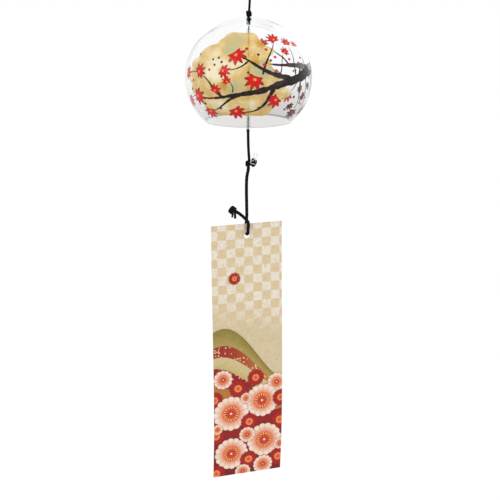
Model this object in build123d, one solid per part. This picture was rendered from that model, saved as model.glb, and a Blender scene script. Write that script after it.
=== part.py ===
from build123d import *
import math
import os

# A glass wind bell: a cord loop, a blown glass bell, a glass tube that strikes its rim,
# and a paper strip on a cord that catches the wind.
# Millimetres, +Z up. The origin is where a hook bears, inside the top of the hanging loop.

# Heights, each counted down from the piece above it
loop_drop = 32.0  # hook point to the middle of the loop's knot
hanger_drop = 31.6  # loop's knot to the top of the glass
joining_drop = 22.3  # lower end of the tube to the middle of the joining knot
strip_drop = 39.4  # joining knot to the top edge of the paper

# Glass bell
bell_diameter = 80.0
crown_height = 37.4  # widest ring up to the top of the glass
mouth_drop = 27.0  # widest ring down to the mouth
glass_wall = 1.3
crown_extra = 0.35  # how much thicker the glass is at the top than at the side
crown_hole_d = 2.4
hole_top_round = 0.8  # soft upper edge of the pierced hole
hole_edge_round = 0.3  # lower edge of the hole, which rides on the stopper knot
rim_round = 0.3

# Tube clapper
tube_d = 3.0
tube_bore = 1.4
tube_length = 63.0
tube_reach = 5.3  # how far the tube hangs below the mouth
tube_end_round = 0.25
thread_d = 0.8

# Cords
hanger_cord_d = 1.3
drop_cord_d = 1.5
strip_cord_d = 1.85
nylon_d = 0.5

# Paper strip
strip_width = 48.5
strip_length = 177.0
paper_thickness = 0.4
strip_hole_d = 4.2
strip_hole_drop = 8.1  # top edge of the paper to the middle of its hole
strip_turned = 18.8  # degrees that the strip hangs turned about the cord
strip_shift = -0.5  # how far the lower cord hangs to the side of the upper one

# Knots, each given as its width, its height and the strand that it is tied in
loop_knot_w, loop_knot_h = 4.2, 4.8
crown_knot_w, crown_knot_h = 3.4, 3.6
stopper_knot_w, stopper_knot_h = 2.9, 2.7
stopper_strand_d = 1.2
tube_knot_w, tube_knot_h = 2.4, 1.8
tube_knot_strand_d = 0.8
left_turns_w, left_turns_h = 3.4, 4.6
right_turns_w, right_turns_h = 4.6, 5.2
right_turns_side = 3.3  # right-hand turns of the joining knot, beside the left-hand ones
right_turns_up = 1.0
right_turns_lean = 25.0
end_knot_w, end_knot_h = 4.4, 5.2
end_knot_side, end_knot_front, end_knot_up = -9.9, 0.4, 9.6  # from the strip's top edge
end_knot_lean = 35.0
tail_d = 1.2
tail_length = 3.6
tail_spread = 0.8
knot_tilt = 16.0  # slant of a knot's turns, degrees
core_share = 0.8  # a knot's core against the lesser of its width and height

# Clearances
joint_gap = 0.3  # between pieces that swing on each other
stopper_gap = 0.25  # glass to the knot that carries it
seat_gap = 0.1  # tube to the knot that it stands on, and paper to its cord
crown_knot_gap = 0.2  # upper knot to the top of the glass
overrun = 1.0  # what a cut passes beyond the faces that it goes through

# Share of the shorter run that an arc of a cord's route takes up
arc_share = 0.45

# Heights that follow from the sizes above
loop_knot_z = -loop_drop
crown_z = loop_knot_z - hanger_drop
equator_z = crown_z - crown_height
mouth_z = equator_z - mouth_drop
tube_end_z = mouth_z - tube_reach
tube_knot_z = tube_end_z - seat_gap - tube_knot_h / 2
joining_z = tube_end_z - joining_drop
strip_top_z = joining_z - strip_drop

# Inner wall of the glass: a smaller ellipse, set lower so that the crown is thicker
inner_radius = bell_diameter / 2 - glass_wall
inner_height = crown_height - glass_wall
inner_centre_z = equator_z - crown_extra
crown_inner_z = inner_centre_z + inner_height

# Routes of the cords, chosen by hand
# Hanging loop, from its knot round the hook and back: across and up from the knot's middle
loop_route = [
    (-0.5, 0.6), (-2.3, 5.4), (-4.5, 12.6), (-6.0, 20.6), (-6.5, 26.4), (-5.3, 30.7),
    (-2.4, 32.65), (2.3, 32.65), (5.2, 30.5), (6.2, 26.2), (5.6, 20.2), (4.2, 12.4),
    (2.2, 5.4), (0.5, 0.6),
]
# Hanging cord: across, and down from the loop's knot
hanger_route = [(0.0, 3.25), (0.4, 9.0), (0.7, 16.0), (0.55, 23.0), (0.05, 29.4), (0.0, 34.4)]
# Upper cord of the strip: across, and down from the tube's lower end
drop_route = [(0.0, 2.65), (0.1, 8.0), (0.35, 14.5), (0.9, 21.0)]
# Lower cord of the strip: across, and down from the joining knot
strip_route = [(0.35, 3.2), (-0.15, 6.6), (-0.7, 11.5), (-0.75, 19.5), (-0.65, 27.5), (-0.5, 34.4)]
# Cord through the paper: along the strip's width, in front of it, and up from its top edge
tie_route = [
    (-8.6, 0.5, 9.2), (-6.1, 0.8, 8.2), (-3.5, 1.4, 6.4), (-1.4, 2.2, 3.7), (-0.2, 2.2, 0.2),
    (0.0, 1.8, -2.5), (0.0, 2.3, -7.0), (0.0, -2.3, -7.0), (0.0, -1.8, -2.6), (0.0, -1.4, 0.6),
    (0.0, -0.1, 4.4),
]
# Nylon end at the joining knot: across and up from the knot's middle
nylon_route = [(3.1, 1.2), (4.7, 5.6), (6.4, 5.0), (4.8, 0.6)]


def corner_radii(points):
    # Each corner's radius is a share of its shorter run, over the tangent of half its turn
    radii = []
    for before, corner, after in zip(points, points[1:], points[2:]):
        run_in = corner - before
        run_out = after - corner
        half_turn = math.radians(run_in.get_angle(run_out)) / 2
        radii.append(arc_share * min(run_in.length, run_out.length) / math.tan(half_turn))
    return radii


def cord_tube(name, points, diameter):
    # A round cord along straight runs that are joined by tangent arcs
    points = [Vector(*p) for p in points]
    radii = corner_radii(points)
    path = FilletPolyline(*points, radius=radii)
    section = Plane(origin=path @ 0, z_dir=path % 0) * Circle(diameter / 2)
    tube = sweep(section, path=path)
    filled = tube.volume / (math.pi * diameter**2 / 4 * path.length)
    print(f"{name}: length {path.length:.2f}, volume share {filled:.4f}, radii",
          [round(r, 1) for r in radii])
    return tube


def side_route(route, top_z):
    # A route in the XZ plane, given across and down from a height
    return [(across, 0, top_z - down) for across, down in route]


def turn_sizes(width, height, strand_d):
    # Ring radius of a knot's two turns, and their distance above and below its middle
    ring = (width - strand_d) / 2
    rise = (height - strand_d) / 2 - ring * math.sin(math.radians(knot_tilt))
    return ring, rise


def knot_reach(width, height, strand_d):
    # Greatest distance of a knot's surface from its middle
    ring, rise = turn_sizes(width, height, strand_d)
    lift = 2 * ring * rise * math.sin(math.radians(knot_tilt))
    return math.sqrt(ring**2 + rise**2 + lift) + strand_d / 2


def tied_knot(width, height, strand_d):
    # A tight knot about the origin: two slanted turns of the strand round a core
    ring, rise = turn_sizes(width, height, strand_d)
    turn = Torus(ring, strand_d / 2)
    upper = Pos(0, 0, rise) * Rot(X=knot_tilt) * turn
    lower = Pos(0, 0, -rise) * Rot(Y=knot_tilt) * turn
    core = Sphere(core_share * min(width, height) / 2)
    return core + upper + lower


def on_strip(side, front, up):
    # A place given along the strip's width, in front of it, and up from its top edge
    turn = math.radians(strip_turned)
    x = strip_shift + side * math.cos(turn) + front * math.sin(turn)
    y = side * math.sin(turn) - front * math.cos(turn)
    return Vector(x, y, strip_top_z + up)


def make_hanging_loop():
    points = [(across, 0, loop_knot_z + up) for across, up in loop_route]
    return cord_tube("hanging_loop", points, hanger_cord_d)


def make_loop_knot():
    return Pos(0, 0, loop_knot_z) * tied_knot(loop_knot_w, loop_knot_h, hanger_cord_d)


def make_hanger_cord():
    return cord_tube("hanger_cord", side_route(hanger_route, loop_knot_z), hanger_cord_d)


def make_crown_knot():
    middle = crown_z + crown_knot_gap + crown_knot_h / 2
    return Pos(0, 0, middle) * tied_knot(crown_knot_w, crown_knot_h, hanger_cord_d)


def stopper_place():
    # The stopper knot hangs just under the hole's rounded lower edge
    reach = knot_reach(stopper_knot_w, stopper_knot_h, stopper_strand_d)
    slant = reach + stopper_gap + hole_edge_round
    across = crown_hole_d / 2 + hole_edge_round
    return crown_inner_z + hole_edge_round - math.sqrt(slant**2 - across**2), reach


def make_stopper_knot():
    middle, reach = stopper_place()
    return Pos(0, 0, middle) * tied_knot(stopper_knot_w, stopper_knot_h, stopper_strand_d)


def make_glass_bell():
    # Blown ellipsoid with a drawn-in mouth, cut off flat, and a hole pierced in its crown:
    # the wall between two ellipses, from the hole to the mouth, turned about Z
    outside = Ellipse(bell_diameter / 2, crown_height)
    inside = Pos(0, -crown_extra) * Ellipse(inner_radius, inner_height)
    kept = Pos(crown_hole_d / 2, -mouth_drop) * Rectangle(
        bell_diameter, crown_height + mouth_drop, align=(Align.MIN, Align.MIN))
    wall = (outside - inside) & kept
    rim_corners = wall.vertices().sort_by(Axis.Y)[:2]
    wall = fillet(rim_corners, rim_round)
    wall = fillet(wall.vertices().sort_by(Axis.Y)[-1], hole_top_round)
    hole_corner = wall.vertices().sort_by(Axis.X)[:2].sort_by(Axis.Y)[0]
    wall = fillet(hole_corner, hole_edge_round)
    return Pos(0, 0, equator_z) * revolve(Plane.XZ * wall, Axis.Z)


def make_clapper_tube():
    # Clear glass tube with fire-polished ends
    bottom = (Align.CENTER, Align.CENTER, Align.MIN)
    tube = Cylinder(tube_d / 2, tube_length, align=bottom)
    tube -= Pos(0, 0, -overrun) * Cylinder(tube_bore / 2, tube_length + 2 * overrun, align=bottom)
    tube = fillet(tube.edges().filter_by(GeomType.CIRCLE), tube_end_round)
    return Pos(0, 0, tube_end_z) * tube


def make_clapper_thread():
    # Thread from under the stopper knot, through the tube, into the knot below it
    middle, reach = stopper_place()
    top_z = middle - reach - joint_gap
    return Pos(0, 0, tube_knot_z) * Cylinder(
        thread_d / 2, top_z - tube_knot_z, align=(Align.CENTER, Align.CENTER, Align.MIN))


def make_tube_knot():
    return Pos(0, 0, tube_knot_z) * tied_knot(tube_knot_w, tube_knot_h, tube_knot_strand_d)


def make_drop_cord():
    return cord_tube("drop_cord", side_route(drop_route, tube_end_z), drop_cord_d)


def make_joining_knot():
    # Two sets of turns side by side, where the upper and the lower cord are tied together
    left = tied_knot(left_turns_w, left_turns_h, drop_cord_d)
    right = Rot(Y=right_turns_lean) * tied_knot(right_turns_w, right_turns_h, strip_cord_d)
    knot = left + Pos(right_turns_side, 0, right_turns_up) * right
    return Pos(0, 0, joining_z) * knot


def make_clear_tail():
    points = [(across, 0, joining_z + up) for across, up in nylon_route]
    return cord_tube("clear_tail", points, nylon_d)


def make_strip_cord():
    return cord_tube("strip_cord", side_route(strip_route, joining_z), strip_cord_d)


def make_strip_tie():
    points = [on_strip(*place) for place in tie_route]
    return cord_tube("strip_tie", points, strip_cord_d)


def make_end_knot():
    # Knot at the free end of the tie, with the two cut ends hanging out of it
    knot = Rot(Y=end_knot_lean) * tied_knot(end_knot_w, end_knot_h, strip_cord_d)
    tail = Cylinder(tail_d / 2, end_knot_h / 2 + tail_length,
                    align=(Align.CENTER, Align.CENTER, Align.MAX))
    for side in (-tail_spread, tail_spread):
        knot += Pos(side, 0, 0) * tail
    return Pos(on_strip(end_knot_side, end_knot_front, end_knot_up)) * Rot(Z=strip_turned) * knot


def make_paper_strip():
    sheet = Box(strip_width, paper_thickness, strip_length,
                align=(Align.CENTER, Align.CENTER, Align.MAX))
    punch = Pos(0, 0, -strip_hole_drop) * Rot(X=90) * Cylinder(
        strip_hole_d / 2, paper_thickness + 2 * overrun)
    return Pos(on_strip(0, 0, 0)) * Rot(Z=strip_turned) * (sheet - punch)


parts = {
    "hanging_loop": make_hanging_loop,
    "loop_knot": make_loop_knot,
    "hanger_cord": make_hanger_cord,
    "crown_knot": make_crown_knot,
    "stopper_knot": make_stopper_knot,
    "glass_bell": make_glass_bell,
    "clapper_thread": make_clapper_thread,
    "clapper_tube": make_clapper_tube,
    "tube_knot": make_tube_knot,
    "drop_cord": make_drop_cord,
    "joining_knot": make_joining_knot,
    "clear_tail": make_clear_tail,
    "strip_cord": make_strip_cord,
    "strip_tie": make_strip_tie,
    "end_knot": make_end_knot,
    "paper_strip": make_paper_strip,
}

os.makedirs("parts", exist_ok=True)
for node, make in parts.items():
    export_step(make(), f"parts/{node}.step")

print(f"pivots: loop knot {loop_knot_z:.2f}, stopper knot {stopper_place()[0]:.2f},",
      f"tube knot {tube_knot_z:.2f}, joining knot {joining_z:.2f}, strip top {strip_top_z:.2f}")
print(f"crown {crown_z:.2f}, equator {equator_z:.2f}, mouth {mouth_z:.2f}, tube end {tube_end_z:.2f}")
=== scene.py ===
import math

import bpy
import numpy as np
from mathutils import Matrix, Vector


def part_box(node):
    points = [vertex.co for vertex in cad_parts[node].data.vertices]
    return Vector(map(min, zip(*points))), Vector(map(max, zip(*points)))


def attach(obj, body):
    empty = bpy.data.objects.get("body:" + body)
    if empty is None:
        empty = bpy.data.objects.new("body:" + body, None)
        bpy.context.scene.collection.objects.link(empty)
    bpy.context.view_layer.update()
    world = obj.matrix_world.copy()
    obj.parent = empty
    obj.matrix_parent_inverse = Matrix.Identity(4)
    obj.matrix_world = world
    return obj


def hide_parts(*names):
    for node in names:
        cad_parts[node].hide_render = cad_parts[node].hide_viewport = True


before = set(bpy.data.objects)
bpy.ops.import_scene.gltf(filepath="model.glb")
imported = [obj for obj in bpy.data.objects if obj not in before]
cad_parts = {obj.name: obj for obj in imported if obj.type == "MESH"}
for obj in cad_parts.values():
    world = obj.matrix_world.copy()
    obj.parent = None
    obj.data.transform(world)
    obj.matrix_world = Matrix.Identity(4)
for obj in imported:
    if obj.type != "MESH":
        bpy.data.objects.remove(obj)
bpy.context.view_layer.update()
mm = 0.001  # sizes below are in millimetres, Blender's in metres
print("frame:", len(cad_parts), "nodes loaded")


# Shared tools

def smooth(low, high, value):
    # cubic step from 0 at low to 1 at high
    share = np.clip((value - low) / (high - low), 0, 1)
    return share * share * (3 - 2 * share)


def linear(colour):
    # screen colour, 0 to 255, as linear light: the usual power curve with a straight foot
    share = np.asarray(colour, float) / 255
    return np.where(share <= 0.04045, share / 12.92, ((share + 0.055) / 1.055) ** 2.4)


def rgba(colour):
    return (*linear(colour).tolist(), 1.0)


def unit(vectors):
    return vectors / np.linalg.norm(vectors, axis=-1, keepdims=True)


def gridQuads(rows, columns, closedRows=False, closedColumns=False):
    # every cell of a grid of points as four indices; a closed direction joins its last line to its first
    i = np.arange(rows if closedRows else rows - 1)
    j = np.arange(columns if closedColumns else columns - 1)
    i, j = np.meshgrid(i, j, indexing="ij")
    nextI, nextJ = (i + 1) % rows, (j + 1) % columns
    cells = [i * columns + j, i * columns + nextJ, nextI * columns + nextJ, nextI * columns + j]
    return np.stack(cells, -1).reshape(-1, 4)


def facesOutward(points, quads):
    # the sign of the enclosed volume, a sum of triple products, says which way the faces look
    a, b, c, d = (points[quads[:, k]] for k in range(4))
    volume = np.einsum("ij,ij->i", a, np.cross(b, c)) + np.einsum("ij,ij->i", a, np.cross(c, d))
    return volume.sum() > 0


def makePiece(name, points, faces, materials, body, replaced=(), corners=None):
    # one mesh at the origin, from points in millimetres, that rides on its body
    mesh = bpy.data.meshes.new(name)
    mesh.from_pydata((np.reshape(points, (-1, 3)) * mm).tolist(), [], faces)
    mesh.polygons.foreach_set("use_smooth", np.ones(len(mesh.polygons), bool))
    if corners is not None:
        mesh.uv_layers.new(name="lay").data.foreach_set("uv", corners.ravel())
    for material in materials:
        mesh.materials.append(material)
    piece = bpy.data.objects.new(name, mesh)
    bpy.context.scene.collection.objects.link(piece)
    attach(piece, body)
    if replaced:
        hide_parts(*replaced)
    return piece


def newMaterial(name):
    material = bpy.data.materials.new(name)
    material.use_nodes = True
    tree = material.node_tree
    return material, tree, tree.nodes["Principled BSDF"]


def addNode(tree, kind, values=None, **settings):
    # a node with its settings, and its sockets set to a value or joined to another node's socket
    made = tree.nodes.new(kind)
    for key, value in settings.items():
        setattr(made, key, value)
    for key, value in (values or {}).items():
        if isinstance(value, bpy.types.NodeSocket):
            tree.links.new(value, made.inputs[key])
        else:
            made.inputs[key].default_value = value
    return made


def addRamp(tree, factor, stops):
    # colour ramp through (place, screen colour) stops
    ramp = addNode(tree, "ShaderNodeValToRGB", {0: factor})
    while len(ramp.color_ramp.elements) < len(stops):
        ramp.color_ramp.elements.new(0.5)
    for element, (place, colour) in zip(ramp.color_ramp.elements, stops):
        element.position = place
        element.color = rgba(colour)
    return ramp.outputs["Color"]


def addBump(tree, shader, height, strength, distance):
    bump = addNode(tree, "ShaderNodeBump", {"Height": height, "Strength": strength, "Distance": distance})
    tree.links.new(bump.outputs["Normal"], shader.inputs["Normal"])


# Materials

cordLook = {"black": (13, 12, 17), "worn": (34, 33, 40), "roughness": 0.65, "specular": 0.06}


def cordMaterial():
    # twisted black yarn: fine fibres along the lay, a little paler where they stand proud
    material, tree, shader = newMaterial("black twisted cord")
    lay = addNode(tree, "ShaderNodeUVMap", uv_map="lay").outputs["UV"]
    drawn = addNode(tree, "ShaderNodeMapping", {"Vector": lay, "Rotation": (0, 0, 0.5), "Scale": (0.8, 9, 1)})
    fibres = addNode(tree, "ShaderNodeTexNoise",
                     {"Vector": drawn.outputs["Vector"], "Scale": 1.6, "Detail": 4, "Roughness": 0.6})
    colour = addRamp(tree, fibres.outputs["Fac"], [(0.35, cordLook["black"]), (0.85, cordLook["worn"])])
    tree.links.new(colour, shader.inputs["Base Color"])
    shader.inputs["Roughness"].default_value = cordLook["roughness"]
    shader.inputs["Specular IOR Level"].default_value = cordLook["specular"]
    addBump(tree, shader, fibres.outputs["Fac"], 0.6, 0.0001)
    return material


threadLook = {"dark": (22, 22, 26), "light": (52, 52, 56)}


def threadMaterial():
    # thin dark thread, its plies a shade apart
    material, tree, shader = newMaterial("dark thread")
    lay = addNode(tree, "ShaderNodeUVMap", uv_map="lay").outputs["UV"]
    plies = addNode(tree, "ShaderNodeTexWave", {"Vector": lay, "Scale": 1.2, "Distortion": 1.5, "Detail": 2},
                    bands_direction="DIAGONAL")
    colour = addRamp(tree, plies.outputs["Fac"], [(0.2, threadLook["dark"]), (0.9, threadLook["light"])])
    tree.links.new(colour, shader.inputs["Base Color"])
    shader.inputs["Roughness"].default_value = 0.7
    shader.inputs["Specular IOR Level"].default_value = cordLook["specular"]
    addBump(tree, shader, plies.outputs["Fac"], 0.4, 0.00005)
    return material


# the grey tone towards the mouth is painted shade, not a tint of the glass itself
glassLook = {"clear": (255, 255, 255), "paintedShade": (226, 223, 221), "absorb": (0.80, 0.84, 0.86), "density": 50.0,
             "paintedShadeTop": -0.098, "paintedShadeBottom": -0.122, "ripple": 0.25, "gloss": (0.35, 0.36, 0.38)}


def letLampsThrough(tree, shader):
    # light on its way to the paint and the cords behind the glass passes it straight
    path = addNode(tree, "ShaderNodeLightPath").outputs
    lit = addNode(tree, "ShaderNodeMath", {0: path["Is Shadow Ray"], 1: path["Is Diffuse Ray"]}, operation="MAXIMUM")
    clear = addNode(tree, "ShaderNodeBsdfTransparent", {"Color": (0.97, 0.97, 0.97, 1)})
    mixed = addNode(tree, "ShaderNodeMixShader", {0: lit.outputs[0], 1: shader.outputs[0], 2: clear.outputs[0]})
    tree.links.new(mixed.outputs[0], tree.nodes["Material Output"].inputs["Surface"])


def glassMaterial(name, roughness, clearness):
    # blown glass: clear above, with a grey tint towards the mouth that is painted shade for the greyer band where light
    # passes both walls, and soft ripples from the blowing
    material, tree, shader = newMaterial(name)
    place = addNode(tree, "ShaderNodeTexCoord").outputs["Object"]
    height = addNode(tree, "ShaderNodeSeparateXYZ", {0: place}).outputs["Z"]
    # painted shade: the base colour turns from clear to grey between these two heights near the mouth
    share = addNode(tree, "ShaderNodeMapRange", {"Value": height, "From Min": glassLook["paintedShadeTop"],
                                                 "From Max": glassLook["paintedShadeBottom"]})
    tint = addRamp(tree, share.outputs["Result"], [(0, glassLook["clear"]), (1, glassLook["paintedShade"])])
    tree.links.new(tint, shader.inputs["Base Color"])
    shader.inputs["Transmission Weight"].default_value = clearness
    shader.inputs["IOR"].default_value = 1.5
    shader.inputs["Specular Tint"].default_value = (*glassLook["gloss"], 1)
    shader.inputs["Roughness"].default_value = roughness
    drawn = addNode(tree, "ShaderNodeMapping", {"Vector": place, "Scale": (60, 60, 14)})
    waves = addNode(tree, "ShaderNodeTexNoise", {"Vector": drawn.outputs["Vector"], "Scale": 1.0, "Detail": 1})
    addBump(tree, shader, waves.outputs["Fac"], glassLook["ripple"], 0.0006)
    letLampsThrough(tree, shader)
    absorption = addNode(tree, "ShaderNodeVolumeAbsorption",
                         {"Color": (*glassLook["absorb"], 1), "Density": glassLook["density"]})
    tree.links.new(absorption.outputs["Volume"], tree.nodes["Material Output"].inputs["Volume"])
    return material


tubeLook = {"tint": (230, 238, 237), "absorb": (0.62, 0.70, 0.71), "density": 90.0}


def tubeMaterial():
    # drawn glass tube, faintly green-grey, with fine lines along its length
    material, tree, shader = newMaterial("drawn glass tube")
    place = addNode(tree, "ShaderNodeTexCoord").outputs["Object"]
    drawn = addNode(tree, "ShaderNodeMapping", {"Vector": place, "Scale": (1500, 1500, 20)})
    lines = addNode(tree, "ShaderNodeTexNoise", {"Vector": drawn.outputs["Vector"], "Scale": 1.0, "Detail": 2})
    addBump(tree, shader, lines.outputs["Fac"], 0.15, 0.00005)
    shader.inputs["Base Color"].default_value = rgba(tubeLook["tint"])
    shader.inputs["Transmission Weight"].default_value = 1.0
    shader.inputs["IOR"].default_value = 1.5
    shader.inputs["Roughness"].default_value = 0.02
    letLampsThrough(tree, shader)
    absorption = addNode(tree, "ShaderNodeVolumeAbsorption",
                         {"Color": (*tubeLook["absorb"], 1), "Density": tubeLook["density"]})
    tree.links.new(absorption.outputs["Volume"], tree.nodes["Material Output"].inputs["Volume"])
    return material


def nylonMaterial():
    # clear nylon line, a little milky
    material, tree, shader = newMaterial("clear nylon")
    lay = addNode(tree, "ShaderNodeUVMap", uv_map="lay").outputs["UV"]
    haze = addNode(tree, "ShaderNodeTexNoise", {"Vector": lay, "Scale": 2.0, "Detail": 2})
    colour = addRamp(tree, haze.outputs["Fac"], [(0.3, (226, 230, 236)), (0.8, (250, 251, 253))])
    tree.links.new(colour, shader.inputs["Base Color"])
    shader.inputs["Transmission Weight"].default_value = 0.5
    shader.inputs["IOR"].default_value = 1.53
    shader.inputs["Roughness"].default_value = 0.12
    return material


# the deeper and green tones are the paint's own; the pale gold is partly painted highlight
goldLook = {"green": (190, 182, 88), "deep": (230, 184, 62), "mid": (242, 210, 106), "pale": (255, 243, 202),
            "alpha": 0.56}  # the paint lets some light through: the tube shows faintly behind it


def goldMaterial():
    # brushed gold paint: soft level streaks over broad clouds of deeper and paler gold; the palest clouds are painted
    # highlight, standing in for glints on the foil
    material, tree, shader = newMaterial("gold paint")
    place = addNode(tree, "ShaderNodeTexCoord").outputs["Object"]
    level = addNode(tree, "ShaderNodeMapping", {"Vector": place, "Scale": (26, 26, 150)})
    streaks = addNode(tree, "ShaderNodeTexNoise", {"Vector": level.outputs["Vector"], "Scale": 1.0, "Detail": 5,
                                                   "Roughness": 0.55})
    clouds = addNode(tree, "ShaderNodeTexNoise", {"Vector": place, "Scale": 75.0, "Detail": 3})
    patchy = addNode(tree, "ShaderNodeMath", {0: clouds.outputs["Fac"], 1: 2.0, 2: streaks.outputs["Fac"]},
                     operation="MULTIPLY_ADD")
    share = addNode(tree, "ShaderNodeMath", {0: patchy.outputs[0], 1: 3.0}, operation="DIVIDE")
    # the top, palest stop of this ramp gives the painted highlight patches
    colour = addRamp(tree, share.outputs[0], [(0.34, goldLook["green"]), (0.46, goldLook["deep"]),
                                              (0.53, goldLook["mid"]), (0.64, goldLook["pale"])])
    tree.links.new(colour, shader.inputs["Base Color"])
    shader.inputs["Roughness"].default_value = 0.5
    shader.inputs["Specular IOR Level"].default_value = 0.1
    shader.inputs["Alpha"].default_value = goldLook["alpha"]
    addBump(tree, shader, streaks.outputs["Fac"], 0.25, 0.0002)
    return material


barkLook = {"dark": (16, 8, 8), "warm": (60, 32, 25)}


def barkMaterial():
    # dark brown lacquer with brush streaks
    material, tree, shader = newMaterial("branch paint")
    place = addNode(tree, "ShaderNodeTexCoord").outputs["Object"]
    streaks = addNode(tree, "ShaderNodeTexNoise", {"Vector": place, "Scale": 420.0, "Detail": 4, "Distortion": 1.2})
    colour = addRamp(tree, streaks.outputs["Fac"], [(0.4, barkLook["dark"]), (0.75, barkLook["warm"])])
    tree.links.new(colour, shader.inputs["Base Color"])
    shader.inputs["Roughness"].default_value = 0.5
    shader.inputs["Specular IOR Level"].default_value = 0.1
    addBump(tree, shader, streaks.outputs["Fac"], 0.3, 0.0001)
    return material


leafLook = {"heart": (255, 196, 96), "red": (218, 6, 6), "rim": (140, 0, 6), "darkHeart": (176, 84, 40),
            "dark": (120, 10, 14), "darkRim": (66, 4, 10)}


def leafMaterial():
    # red enamel, gold at each leaf's heart; heart runs from 0 there to 0.5 at the rim, and from 0.5 to 1 on dark leaves
    material, tree, shader = newMaterial("leaf paint")
    heart = addNode(tree, "ShaderNodeAttribute", attribute_name="heart").outputs["Fac"]
    place = addNode(tree, "ShaderNodeTexCoord").outputs["Object"]
    brush = addNode(tree, "ShaderNodeTexNoise", {"Vector": place, "Scale": 900.0, "Detail": 3})
    worn = addNode(tree, "ShaderNodeMath", {0: brush.outputs["Fac"], 1: 0.06, 2: -0.03}, operation="MULTIPLY_ADD")
    moved = addNode(tree, "ShaderNodeMath", {0: heart, 1: worn.outputs[0]}, operation="ADD")
    colour = addRamp(tree, moved.outputs[0], [(0.02, leafLook["heart"]), (0.13, leafLook["red"]),
                                               (0.38, leafLook["red"]), (0.49, leafLook["rim"]),
                                               (0.51, leafLook["darkHeart"]), (0.62, leafLook["dark"]),
                                               (0.99, leafLook["darkRim"])])
    tree.links.new(colour, shader.inputs["Base Color"])
    shader.inputs["Roughness"].default_value = 0.5
    shader.inputs["Specular IOR Level"].default_value = 0.1
    addBump(tree, shader, brush.outputs["Fac"], 0.2, 0.0001)
    return material


paperLook = {"back": (236, 228, 208), "edge": (242, 237, 224), "fleck": (216, 184, 144), "roughness": 0.72}


def paperFibres(tree, shader):
    # felted paper: fine bump from two scales of noise
    place = addNode(tree, "ShaderNodeTexCoord").outputs["Object"]
    fibres = addNode(tree, "ShaderNodeTexNoise", {"Vector": place, "Scale": 1600.0, "Detail": 5, "Roughness": 0.65})
    addBump(tree, shader, fibres.outputs["Fac"], 0.25, 0.00008)
    shader.inputs["Roughness"].default_value = paperLook["roughness"]
    return place, fibres.outputs["Fac"]


def printMaterial():
    # the printed face: its colour comes with the mesh, mottled, with gold flecks on the pale squares
    material, tree, shader = newMaterial("printed paper")
    place, fibres = paperFibres(tree, shader)
    printed = addNode(tree, "ShaderNodeAttribute", attribute_name="print").outputs["Color"]
    pale = addNode(tree, "ShaderNodeAttribute", attribute_name="paleSquare").outputs["Fac"]
    cloud = addNode(tree, "ShaderNodeTexNoise", {"Vector": place, "Scale": 420.0, "Detail": 4, "Roughness": 0.6})
    mottle = addRamp(tree, cloud.outputs["Fac"], [(0.3, (238, 236, 232)), (0.7, (255, 255, 255))])
    shaded = addNode(tree, "ShaderNodeMix", {0: 1.0, 6: printed, 7: mottle}, data_type="RGBA", blend_type="MULTIPLY")
    spots = addNode(tree, "ShaderNodeTexNoise", {"Vector": place, "Scale": 650.0, "Detail": 2})
    sharp = addNode(tree, "ShaderNodeMapRange", {"Value": spots.outputs["Fac"], "From Min": 0.58, "From Max": 0.68,
                                                 "To Max": 0.6})
    flecked = addNode(tree, "ShaderNodeMath", {0: sharp.outputs["Result"], 1: pale}, operation="MULTIPLY")
    flecks = addNode(tree, "ShaderNodeMix", {0: flecked.outputs[0], 6: shaded.outputs[2], 7: rgba(paperLook["fleck"])},
                     data_type="RGBA")
    tree.links.new(flecks.outputs[2], shader.inputs["Base Color"])
    return material


def plainPaperMaterial(name, tone):
    # unprinted paper with faint fibres
    material, tree, shader = newMaterial(name)
    place, fibres = paperFibres(tree, shader)
    darker = tuple(0.93 * value for value in tone)
    colour = addRamp(tree, fibres, [(0.3, darker), (0.65, tone)])
    tree.links.new(colour, shader.inputs["Base Color"])
    return material


blackCord = cordMaterial()
darkThread = threadMaterial()
print("materials made")


# Cords

cordShape = {"plies": 3, "ridge": 1.14, "groove": 0.07, "layTurns": 0.24, "ringStep": 0.2, "sides": 27,
             "endRound": 0.35}


def routeLine(name, points, step):
    # smooth line of a cord: a NURBS curve with the route's points as control points, read back as even steps
    curve = bpy.data.curves.new(name, "CURVE")
    curve.dimensions = "3D"
    spline = curve.splines.new("NURBS")
    spline.points.add(len(points) - 1)
    spline.points.foreach_set("co", np.c_[np.array(points) * mm, np.ones(len(points))].ravel())
    spline.order_u = 3
    spline.use_endpoint_u = True
    spline.resolution_u = 32
    holder = bpy.data.objects.new(name, curve)
    mesh = bpy.data.meshes.new_from_object(holder)
    read = np.empty(len(mesh.vertices) * 3)
    mesh.vertices.foreach_get("co", read)
    bpy.data.objects.remove(holder)
    bpy.data.meshes.remove(mesh)
    bpy.data.curves.remove(curve)
    read = read.reshape(-1, 3) / mm
    far = np.r_[0, np.cumsum(np.linalg.norm(np.diff(read, axis=0), axis=1))]
    even = np.linspace(0, far[-1], int(far[-1] / step) + 2)
    return np.stack([np.interp(even, far, read[:, k]) for k in range(3)], 1)


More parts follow.
